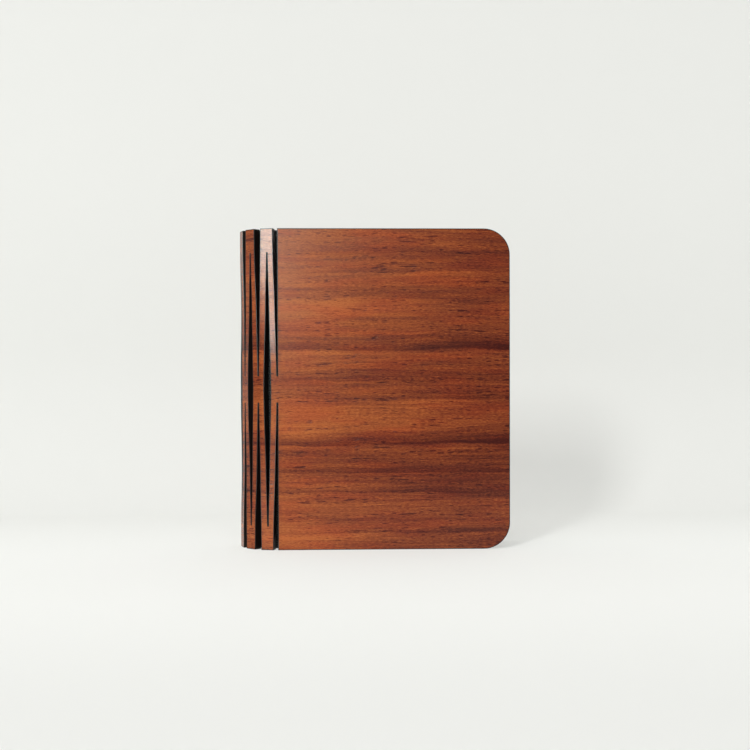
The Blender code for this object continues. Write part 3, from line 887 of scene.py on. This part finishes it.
@dataclass
class CoverBoards:
    """The two cover boards: a rounded profile carried round the outline."""

    plan: SpinePlan
    slits: SlitPattern
    corner: float = 0.010
    corner_steps: int = 14
    hinge_gap: float = 0.00015
    crease: float = 20.0

    # 1 plus the cosine of the sharpest turn of the outline that gets a full mitre, 131 degrees
    LEAST_BEND: ClassVar[float] = 0.35

    def _outline(self) -> tuple[Array, Array]:
        """The outline from the hinge column, anticlockwise from the foot of the hinge edge.

        Round corners are quarter circles. The hinge edge is straight, a small gap from the column,
        and meets the column where the bridge joins the board to its slat.

        Returns:
            The points as (points, 2), and whether each is on a cut edge, as 0 or 1.
        """
        plan, corner = self.plan, self.corner
        right = plan.fore_edge - plan.centre_x - corner
        turn = np.linspace(-pi / 2, 0.0, self.corner_steps)
        low = on_circle(turn) * corner + (right, corner)
        high = on_circle(turn + pi / 2) * corner + (right, plan.height - corner)
        hair = self.slits.kerf / 4
        tip = plan.middle + self.slits.edge_bridge / 2
        upper = np.array([[self.hinge_gap, plan.height], [self.hinge_gap, tip + hair], [0.0, tip - hair]])
        lower = upper[::-1] * (1, -1) + (0.0, plan.height)
        points = np.concatenate([low, high, upper, lower])
        on_cut = np.ones(len(points))
        on_cut[-len(lower) - 1:1 - len(lower)] = 0.0  # the two points at the bridge
        return points, on_cut

    def build(self, side: Side, wardrobe: Wardrobe) -> list[Item]:
        """Make a cover board.

        Each ring is the outline moved inwards along its mitres and set at a depth: from the inner
        face over the rounded inner arris, the wall and the outer arris to the outer face.

        Args:
            side: Half of the lamp.
            wardrobe: The finishes.

        Returns:
            The board alone.
        """
        plan = self.plan
        points, on_cut = self._outline()
        before = points - np.roll(points, 1, axis=0)
        before /= np.linalg.norm(before, axis=1, keepdims=True)
        normals, following = left_of(before), left_of(np.roll(before, -1, axis=0))
        bend = 1 + np.sum(normals * following, axis=1, keepdims=True)
        mitre = (normals + following) / np.maximum(bend, self.LEAST_BEND)
        arris, half = self.slits.arris, plan.half_board
        middle = arris * ROUND_MIDDLE
        outer = np.array([(arris + self.slits.scorch, half, 0), (arris, half, 1), (middle, half - middle, 1),
                          (0.0, half - arris, 1), (0.0, 0.0, 1)])
        inset, depth, burn = np.concatenate([outer, outer[-2::-1] * (1, -1, 1)]).T
        moved = points + inset[:, None, None] * mitre * on_cut[None, :, None]
        rings = np.empty((len(inset), len(points), 3))
        rings[..., 0] = plan.centre_x + moved[..., 0]
        rings[..., 1] = side.value * (plan.radius + depth[:, None])
        rings[..., 2] = moved[..., 1]
        along = plan.flat_start(side, plan.slats + 1) - side.value * moved[..., 0]
        name = f"{side.title}_cover_board"
        board = swept_solid(name + "_veneered", rings, along, burn[:, None] * on_cut, self.crease)
        wardrobe.dress(board, Finish.VENEER)
        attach(board, f"{side.title}_cover")
        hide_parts(name)
        return [board]


@dataclass
class LivingHinge:
    """The bars between the slits. Each is four stretches that twist with their neighbours."""

    plan: SpinePlan
    slits: SlitPattern
    steps: int = 12
    tip_reach: float = 0.0003
    crease: float = 20.0
    section: Array = field(init=False)

    # A bar's section at its near edge: share across (0 near edge, 1 far edge), arris radii and scorch
    # widths in from that edge, face (1 outer, -1 inner, 0 half way), and arris radii down from the face
    WALL: ClassVar = ((0.0, 0.0, 0.0, 0.0, 0.0),)
    ARRIS: ClassVar = ((0.0, 0.0, 0.0, 1.0, 1.0), (0.0, ROUND_MIDDLE, 0.0, 1.0, ROUND_MIDDLE),
                       (0.0, 1.0, 0.0, 1.0, 0.0), (0.0, 1.0, 1.0, 1.0, 0.0))
    CENTRE: ClassVar = ((0.5, 0.0, 0.0, 1.0, 0.0),)

    def __post_init__(self) -> None:
        """Work out the section: near wall, outer face, far wall and inner face, by mirroring."""
        near = np.array(self.ARRIS)
        far = near[::-1] * (0, 1, 1, 1, 1) + (1, 0, 0, 0, 0)
        outer = np.concatenate([near, np.array(self.CENTRE), far])
        inner = outer[::-1] * (1, 1, 1, -1, 1)
        wall = np.array(self.WALL)
        self.section = np.concatenate([wall, outer, wall + (1, 0, 0, 0, 0), inner])

    def _heights(self, zone: BarZone) -> Array:
        """Stations of a stretch, from its inner end outwards, with close steps at a slit's tip.

        Args:
            zone: The stretch.

        Returns:
            The heights.
        """
        sign, kind = zone.value
        middle, top, near = self.plan.middle, self.plan.height, self.tip_reach
        quarter = (middle + top) / 2
        hair = self.slits.kerf / 4
        if kind == "end":
            tip = middle + self.slits.inner_length / 2
            arris = self.slits.arris
            finish = top - np.array([self.slits.scorch + arris, arris, arris * ROUND_MIDDLE, 0.0])
            run = np.linspace(quarter, tip - near, self.steps)
            heights = np.concatenate([run, [tip - hair, tip + hair, tip + near], finish])
        else:
            tip = middle + self.slits.edge_bridge / 2
            run = np.linspace(tip + near, quarter, self.steps)
            heights = np.concatenate([[middle, tip - near, tip - hair, tip + hair], run])
        return heights if sign > 0 else top - heights

    def _stretch(self, side: Side, number: int, zone: BarZone) -> Item:
        """Make one stretch of a bar.

        The bar's section is set at each height between the two slits, twisted about the column
        that bridges it to its neighbour there, and laid along the slat's heading.

        Args:
            side: Half of the lamp.
            number: The slat, 1 at the middle of the spine.
            zone: The stretch.

        Returns:
            The stretch.
        """
        plan, slits, arris = self.plan, self.slits, self.slits.arris
        heights = self._heights(zone)
        near_is_edge = number % 2 == 1
        if near_is_edge:
            near, far = slits.edge_cut(heights, slits.cover_cut), slits.inner_half(heights)
        else:
            near, far = slits.inner_half(heights), slits.edge_cut(heights, slits.spine_cut)
        away = np.abs(heights - plan.middle)
        top_gap = plan.middle - away
        drop_in = arris - np.sqrt(np.maximum(arris**2 - (arris - top_gap)**2, 0))
        shrink = np.where(top_gap < arris, drop_in, 0.0)[:, None]
        end_burn = np.where(top_gap <= arris + 1e-9, 1.0, 0.0)

        share, corner, scorch, face, drop = self.section.T
        at_far, at_centre = share == 1.0, share == 0.5
        cut = np.where(at_far, far[:, None], near[:, None])
        present = cut > 0
        inset = shrink + cut + present * (corner * arris + scorch * slits.scorch)
        centre = plan.pitch / 2 + (near - far)[:, None] / 2
        across = np.where(at_centre, centre, np.where(at_far, plan.pitch - inset, inset))
        local_y = side.value * (face * (plan.half_board - shrink - present * drop * arris))
        burn = np.maximum(present * ((scorch < 0.5) & ~at_centre), end_burn[:, None])

        at_end = zone.value[1] == "end"
        pivot_far = near_is_edge == at_end
        toward = -1 if pivot_far else 1
        quarter = plan.middle / 2
        reach = slits.inner_length / 2 if at_end else slits.edge_bridge / 2
        twist = side.value * toward * plan.half_bend * smoothstep((away - quarter) / (reach - quarter))
        pivot = plan.pitch if pivot_far else 0.0
        heading = plan.heading(side, number)
        turn = (heading + twist)[:, None]
        start = plan.column(side, number) + pivot * np.array([cos(heading), sin(heading)])
        from_pivot = across - pivot
        outline = np.stack([start[0] + from_pivot * np.cos(turn) - local_y * np.sin(turn),
                            start[1] + from_pivot * np.sin(turn) + local_y * np.cos(turn)], axis=-1)
        along = plan.flat_start(side, number) - side.value * across
        name = f"{side.title}_bar_{number}_{zone.name.lower()}"
        return swept_solid(name, lift(outline, heights), along, burn, self.crease)

    def _blend(self, bar: Item) -> None:
        """Bake a stretch's placement into its mesh.

        Args:
            bar: The stretch.
        """
        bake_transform(bar)

    def build(self, side: Side, wardrobe: Wardrobe) -> list[Item]:
        """Make all bars of one half.

        Args:
            side: Half of the lamp.
            wardrobe: The finishes.

        Returns:
            The stretches.
        """
        bars = []
        for number in range(1, self.plan.slats + 1):
            for zone in BarZone:
                bar = self._stretch(side, number, zone)
                wardrobe.dress(bar, Finish.VENEER)
                self._blend(bar)
                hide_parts(f"{side.title}_slat_{number}")
                bars.append(bar)
        return bars


@dataclass
class Lining:
    """The black lining inside the spine: one bent sheet in pieces that meet at the slats' middles."""

    plan: SpinePlan
    gap: float = 0.00025
    thickness: float = 0.00030
    arc_steps: int = 7
    rise_steps: int = 3

    @property
    def outer(self) -> float:
        """Radius of the sheet's outer face, a gap inside the slats' inner faces."""
        return self.plan.radius * cos(self.plan.half_bend) - self.plan.half_board - self.gap

    def _piece(self, side: Side, number: int, first: float, last: float) -> Item:
        """Make the stretch of sheet between two angles round the spine's centre.

        Args:
            side: Half of the lamp.
            number: The hinge column that the stretch crosses.
            first: Start angle from the middle of the spine, in radians.
            last: End angle.

        Returns:
            The stretch: an arc with a thickness, carried up the spine.
        """
        turn = np.linspace(first, last, self.arc_steps)
        radii = np.repeat([self.outer, self.outer - self.thickness], self.arc_steps)[:, None]
        turns = np.concatenate([turn, turn[::-1]])
        low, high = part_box("front_lining_1")
        heights = np.linspace(float(low[2]), float(high[2]), self.rise_steps)
        ring = radii * on_circle(turns) * (-1, side.value) + (self.plan.centre_x, 0.0)
        name = f"{side.title}_lining_sheet_{number}"
        return swept_solid(name, lift(ring, heights), side.value * self.outer * turns)

    def build(self, side: Side, wardrobe: Wardrobe) -> list[Item]:
        """Make the sheet of one half, from the middle of the spine to the cover.

        Args:
            side: Half of the lamp.
            wardrobe: The finishes.

        Returns:
            The sheet's pieces.
        """
        plan, title = self.plan, side.title
        step = 2 * plan.half_bend
        pieces = []
        for number in range(1, plan.slats + 2):
            first = max(0.0, (number - 1.5) * step)
            last = min(plan.slats * step, (number - 0.5) * step)
            piece = self._piece(side, number, first, last)
            wardrobe.dress(piece, Finish.LINING)
            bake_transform(piece)
            strips = {max(1, number - 1), min(plan.slats, number)}
            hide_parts(*sorted(f"{title}_lining_{strip}" for strip in strips))
            pieces.append(piece)
        return pieces


@dataclass
class Accordion:
    """The paper accordion: a panel on each side of every slat's fore-edge fold, and two end leaves."""

    plan: SpinePlan
    thickness: float = 0.00016
    fold_radius: float = 0.00022
    panel_steps: int = 24
    fold_steps: int = 6
    rise_steps: int = 9

    # Height of the wave in a panel, and radians that it runs through over the panel's height and
    # width, and for each metre of accordion before it
    wave: float = 0.00007
    wave_over_height: float = 2.2 * pi
    wave_over_width: float = 3.0
    wave_over_sheet: float = 21.0

    bending_share: float = 0.7
    core_share: float = 0.75

    valley_x: float = field(init=False)
    apex_x: float = field(init=False)
    bottom: float = field(init=False)
    top: float = field(init=False)
    pitch: float = field(init=False)
    leaf_y: float = field(init=False)

    def __post_init__(self) -> None:
        """Read the folds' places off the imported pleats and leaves."""
        low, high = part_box("front_pleat_1")
        next_low, next_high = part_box("front_pleat_2")
        self.valley_x, self.apex_x = float(low[0]), float(high[0])
        self.bottom, self.top = float(low[2]), float(high[2])
        self.pitch = float((low[1] + high[1]) - (next_low[1] + next_high[1])) / 2
        leaf_low, leaf_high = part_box("front_end_leaf")
        self.leaf_y = float(-(leaf_low[1] + leaf_high[1]) / 2)

    def _path(self, fold_y: float, valley_y: float) -> Array:
        """Centreline of one panel from above, from the top of its fore-edge fold to its valley.

        Both ends are quarter arcs of the fold radius, and the stretch between them is straight.

        Args:
            fold_y: Distance of the fold from the lamp's middle plane.
            valley_y: Distance of the valley.

        Returns:
            The points as (points, 2), with y as a distance from the middle plane.
        """
        r = self.fold_radius
        way = 1.0 if valley_y > fold_y else -1.0
        turn = np.linspace(0.0, pi / 2, self.fold_steps)
        fold = on_circle(turn) * (r, way * r) + (self.apex_x - r, fold_y)
        valley = on_circle(turn - pi / 2) * (-r, way * r) + (self.valley_x + r, valley_y)
        panel = np.linspace(fold[-1], valley[0], self.panel_steps)[1:-1]
        return np.concatenate([fold, panel, valley])

    def _sheet(self, name: str, side: Side, path: Array, start: float) -> tuple[Item, float]:
        """Give a path its thickness and carry it up, with a slight wave in the panel.

        The wave is a sine over the height, slanted over the width, and dies away at both folds by the
        square of a half sine.

        Args:
            name: The object's name.
            side: Half of the lamp.
            path: The centreline from above.
            start: Where on the unfolded accordion the path starts, in metres.

        Returns:
            The sheet and its unfolded width.
        """
        heights = np.linspace(self.bottom, self.top, self.rise_steps)
        tangent = np.gradient(path, axis=0)
        tangent /= np.linalg.norm(tangent, axis=1, keepdims=True)
        half = left_of(tangent) * self.thickness / 2
        length = np.concatenate([[0.0], np.cumsum(np.linalg.norm(np.diff(path, axis=0), axis=1))])
        run = (path[:, 0] - self.valley_x) / (self.apex_x - self.valley_x)
        hump = np.sin(np.clip(run, 0, 1) * pi) ** 2
        rise = (heights - self.bottom) / (self.top - self.bottom)
        swing = self.wave_over_height * rise[:, None] + self.wave_over_sheet * start
        wave = self.wave * hump * np.sin(swing + self.wave_over_width * run)
        rings = lift(np.concatenate([path + half, (path - half)[::-1]]), heights)
        rings[..., 1] = side.value * (rings[..., 1] + np.concatenate([wave, wave[:, ::-1]], axis=1))
        along = np.concatenate([length, length[::-1]]) + start
        return swept_solid(name, rings, along, thin=True), float(length[-1])

    def build(self, side: Side, wardrobe: Wardrobe) -> list[Item]:
        """Make the accordion of one half, from the middle of the spine to the cover.

        Args:
            side: Half of the lamp.
            wardrobe: The finishes.

        Returns:
            The panels and the end leaf.
        """
        title = side.title
        start = 1.0 + side.value
        panels = 2 * self.plan.slats
        pieces = []
        for panel in range(panels):
            number = panel // 2 + 1
            inner = panel % 2 == 0
            valley_y = (number - 1 if inner else number) * self.pitch
            if panel == panels - 1:
                valley_y = self.leaf_y - self.thickness
            path = self._path((number - 0.5) * self.pitch, valley_y)
            if inner:
                path = path[::-1]
            piece, width = self._sheet(f"{title}_pages_{panel + 1}", side, path, start)
            start += width
            wardrobe.dress(piece, Finish.PAPER)
            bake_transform(piece)
            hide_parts(f"{title}_pleat_{number}")
            pieces.append(piece)
        return [*pieces, self._leaf(title, wardrobe)]

    def _leaf(self, title: str, wardrobe: Wardrobe) -> Item:
        """Make the end leaf, a flat sheet on the inside of the cover.

        Args:
            title: Half of the lamp.
            wardrobe: The finishes.

        Returns:
            The leaf.
        """
        low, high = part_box(f"{title}_end_leaf")
        near, far = sorted((float(low[1]), float(high[1])))
        front, back = (near + far) / 2 - self.thickness / 2, (near + far) / 2 + self.thickness / 2
        corners = np.array([(low[0], front), (high[0], front), (high[0], back), (low[0], back)])
        rings = lift(corners, np.linspace(low[2], high[2], 3))
        leaf = swept_solid(f"{title}_end_leaf_sheet", rings, corners[:, 0])
        wardrobe.dress(leaf, Finish.PAPER)
        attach(leaf, f"{title}_cover")
        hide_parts(f"{title}_end_leaf")
        return leaf


class LightCore:
    """The light core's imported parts, and the magnets in the covers, each with its finish."""

    PARTS = {
        Finish.HOUSING: ("core_housing", "core_bottom_cap", "core_top_cap"),
        Finish.DIFFUSER: ("core_diffuser",),
        Finish.BOARD: ("led_strip", "control_board"),
        Finish.GLASS: ("magnetic_switch",),
        Finish.WRAP: ("battery_cell",),
        Finish.STEEL: ("charging_socket", "bottom_cap_screw_1", "bottom_cap_screw_2", "top_cap_screw_1",
                       "top_cap_screw_2", "front_cover_magnet_1", "front_cover_magnet_2",
                       "back_cover_magnet_1", "back_cover_magnet_2", "switch_magnet"),
    }

    def dress(self, wardrobe: Wardrobe) -> dict[str, Finish]:
        """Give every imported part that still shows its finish.

        Args:
            wardrobe: The finishes.

        Returns:
            The finish of each part.
        """
        finishes = {part: finish for finish, parts in self.PARTS.items() for part in parts}
        for part, finish in finishes.items():
            wardrobe.dress(frame["nodes"][part], finish)
        return finishes


@dataclass
class Studio:
    """Pale seamless paper sweep, lights from the left front, and the camera of the photograph."""

    paper: Colour = (0.885, 0.890, 0.862)
    backdrop: Colour = (0.764, 0.769, 0.740)
    daylight: Colour = (0.80, 1.0, 0.97)
    floor_reach: float = 0.32
    half_width: float = 2.0
    sweep_start: float = 0.11
    sweep_radius: float = 0.08
    sweep_steps: int = 25
    width_steps: int = 15
    wall_height: float = 1.2
    glow: float = 1.06
    eye_share: float = 0.5

    # Where the floor's paper turns into the backdrop's along Y, and where along Y and up the wall the
    # paper starts and ends to get lighter, with its lightness at each
    backdrop_y: Pair = (-0.05, 0.20)
    floor_y: Pair = (-0.28, -0.12)
    floor_light: Pair = (0.92, 1.0)
    wall_z: Pair = (0.06, 0.20)
    wall_light: Pair = (1.0, 1.05)

    # The room's light, and its brightness as a reflection, from in front to the sides
    sky: float = 0.34
    room_y: Pair = (-0.75, 0.10)
    room_light: Pair = (0.16, 1.0)

    aim_height: float = 0.06
    panel_distance: float = 2.0
    camera_distance: float = 0.50
    camera_azimuth: float = radians(-2.1)
    camera_height: float = 0.0640
    camera_pitch: float = radians(-0.90)
    camera_roll: float = radians(-0.16)
    lens: float = 63.2
    shift_y: float = 0.036

    def _place(self, name: str, data: bpy.types.Light, azimuth: float, elevation: float,
               distance: float) -> Item:
        """Add a light that faces the lamp.

        Args:
            name: The light's name.
            data: The light.
            azimuth: Degrees round the lamp, 0 at -Y and positive towards +X.
            elevation: Degrees above the horizon.
            distance: Metres from the lamp.

        Returns:
            The light's object.
        """
        item = link_item(name, data)
        a, e = radians(azimuth), radians(elevation)
        back = Vector((sin(a) * cos(e), -cos(a) * cos(e), sin(e)))
        item.location = Vector((0.0, 0.0, self.aim_height)) + back * distance
        item.rotation_euler = (-back).to_track_quat("-Z", "Y").to_euler()
        return item

    def _panel(self, name: str, azimuth: float, elevation: float, span: Pair, radiance: float,
               mirrored: bool) -> None:
        """Add a bright panel.

        Args:
            name: The panel's name.
            azimuth: Degrees round the lamp, as for _place.
            elevation: Degrees above the horizon.
            span: Its width and height in degrees, as seen from the lamp.
            radiance: Its brightness.
            mirrored: Whether it only shows as a reflection; otherwise it only lights.
        """
        data = bpy.data.lights.new(name, "AREA")
        data.shape = "RECTANGLE"
        data.size, data.size_y = (2 * self.panel_distance * tan(radians(angle / 2)) for angle in span)
        data.energy = radiance * pi * data.size * data.size_y
        item = self._place(name, data, azimuth, elevation, self.panel_distance)
        item.visible_diffuse = not mirrored
        item.visible_glossy = mirrored
        if mirrored:
            data.color = self.daylight

    def _sun(self, name: str, azimuth: float, elevation: float, spread: float, strength: float) -> None:
        """Add a broad distant light.

        Args:
            name: The light's name.
            azimuth: Degrees round the lamp, as for _place.
            elevation: Degrees above the horizon.
            spread: Its angular diameter in degrees.
            strength: Watts for each square metre that faces it.
        """
        data = bpy.data.lights.new(name, "SUN")
        data.angle = radians(spread)
        data.energy = strength
        self._place(name, data, azimuth, elevation, 1.0)

    def _floor(self) -> None:
        """Carry the sweep's profile along X: flat floor, a quarter circle behind the lamp, a wall."""
        bend = np.linspace(0.0, pi / 2, self.sweep_steps)
        curve = np.stack([np.sin(bend), 1 - np.cos(bend)], axis=1) * self.sweep_radius
        curve += (self.sweep_start, 0.0)
        top = (self.sweep_start + self.sweep_radius, self.wall_height)
        profile = np.concatenate([[(-self.floor_reach, 0.0), (0.0, 0.0)], curve, [top]])
        across = np.linspace(-self.half_width, self.half_width, self.width_steps)
        points = np.empty((len(profile), len(across), 3))
        points[..., 0] = across
        points[..., 1:] = profile[:, None, :]
        index = np.arange(len(profile) * len(across)).reshape(points.shape[:2])
        quads = np.stack([index[:-1, :-1], index[:-1, 1:], index[1:, 1:], index[1:, :-1]], axis=-1)
        mesh = bpy.data.meshes.new("ground")
        mesh.from_pydata(points.reshape(-1, 3), [], quads.reshape(-1, 4).tolist())
        mesh.shade_smooth()
        ground = link_item("ground", mesh)
        mesh.materials.append(self._ground_material())

    def _ground_material(self) -> Material:
        """Pale matt paper that glows a little to the eye, and is clear when seen from behind.

        The floor is paler than the sweep behind it. It darkens a little towards the camera, and the
        wall brightens a little upwards. Half of what the eye sees is this colour itself, which keeps
        shadows light.

        Returns:
            The material.
        """
        material = bpy.data.materials.new("pale_ground")
        material.use_nodes = True
        g = Graph(material.node_tree)
        _, depth, height = g.add("SeparateXYZ", {0: g.add("TexCoord").outputs["Object"]}).outputs
        tint = g.mix(g.remap(depth, *self.backdrop_y, 0.0, 1.0), self.paper, self.backdrop)
        upward = g.remap(height, *self.wall_z, *self.wall_light)
        shade = g.math("MULTIPLY", upward, g.remap(depth, *self.floor_y, *self.floor_light))
        tint = g.mix(1.0, tint, g.add("CombineXYZ", {0: shade, 1: shade, 2: shade}).outputs[0], "MULTIPLY")
        matt = {"Roughness": 0.9, "Specular IOR Level": 0.2, "Base Color": tint}
        shader = g.feed(g.tree.nodes["Principled BSDF"], matt).outputs[0]
        glow = g.add("Emission", {"Color": tint, "Strength": self.glow}).outputs[0]
        seen = g.add("LightPath").outputs
        eye = g.math("MAXIMUM", seen["Is Camera Ray"], seen["Is Glossy Ray"])
        eye = g.math("MAXIMUM", eye, seen["Is Transmission Ray"])
        lit = g.add("MixShader", {0: g.math("MULTIPLY", eye, self.eye_share), 1: shader, 2: glow}).outputs[0]
        behind = g.add("NewGeometry").outputs["Backfacing"]
        mixed = g.add("MixShader", {0: behind, 1: lit, 2: g.add("BsdfTransparent").outputs[0]}).outputs[0]
        g.feed(g.tree.nodes["Material Output"], {"Surface": mixed})
        return material

    def _world(self) -> None:
        """Room round the sweep: as pale as the paper to the eye, dim in front as a reflection."""
        world = bpy.data.worlds.new("studio")
        bpy.context.scene.world = world
        world.use_nodes = True
        g = Graph(world.node_tree)
        seen = g.add("LightPath").outputs
        ahead = g.add("SeparateXYZ", {0: g.add("TexCoord").outputs["Generated"]}).outputs[1]
        mirrored = g.remap(ahead, *self.room_y, *self.room_light)
        level = g.mix_numbers(seen["Is Glossy Ray"], self.sky, mirrored)
        level = g.mix_numbers(seen["Is Camera Ray"], level, 1.0)
        g.feed(g.tree.nodes["Background"], {"Color": (*self.paper, 1.0), "Strength": level})

    def _camera(self, front_y: float) -> None:
        """Put the camera where the photograph was taken from.

        Args:
            front_y: Y of the front cover's outer face.
        """
        data = bpy.data.cameras.new("camera")
        data.sensor_width = 36.0
        data.lens = self.lens
        data.shift_y = self.shift_y
        data.clip_start = 0.01
        camera = link_item("camera", data)
        turn, distance = self.camera_azimuth, self.camera_distance
        camera.location = (distance * sin(turn), front_y - distance * cos(turn), self.camera_height)
        level = Matrix.Rotation(turn, 4, "Z") @ Matrix.Rotation(pi / 2 + self.camera_pitch, 4, "X")
        camera.rotation_euler = (level @ Matrix.Rotation(self.camera_roll, 4, "Z")).to_euler()
        bpy.context.scene.camera = camera

    def build(self, front_y: float) -> None:
        """Set up ground, lights and camera.

        Args:
            front_y: Y of the front cover's outer face.
        """
        self._floor()
        self._world()
        self._panel("key", azimuth=-24.0, elevation=26.0, span=(7.0, 14.0), radiance=62.0, mirrored=False)
        self._panel("glow", azimuth=-26.2, elevation=13.0, span=(39.0, 18.5), radiance=33.0, mirrored=True)
        self._sun("overhead", azimuth=-22.0, elevation=58.0, spread=44.0, strength=0.85)
        self._camera(front_y)
        bpy.context.scene.view_settings.view_transform = "Standard"


def main() -> None:
    """Build the studio and the lamp's visible pieces in order, and report each piece."""
    logging.basicConfig(level=logging.INFO, format="%(name)s: %(message)s")
    plan = SpinePlan.from_frame()
    LOG.info("board %.1f mm high, spine pitch %.2f mm", plan.height * MM, plan.pitch * MM)
    wardrobe = Wardrobe(plan.height, plan.flat_start(Side.FRONT, 1))
    slits = SlitPattern(plan)
    Studio().build(-(plan.radius + plan.half_board))
    LOG.info("studio ready")
    makers = (CoverBoards(plan, slits), LivingHinge(plan, slits), Lining(plan), Accordion(plan))
    for side in Side:
        for maker in makers:
            for piece in maker.build(side, wardrobe):
                LOG.info("%s: %d faces", piece.name, len(piece.data.polygons))
    for part, finish in LightCore().dress(wardrobe).items():
        LOG.info("%s: %s", part, finish.value)


if __name__ == "__main__":
    main()
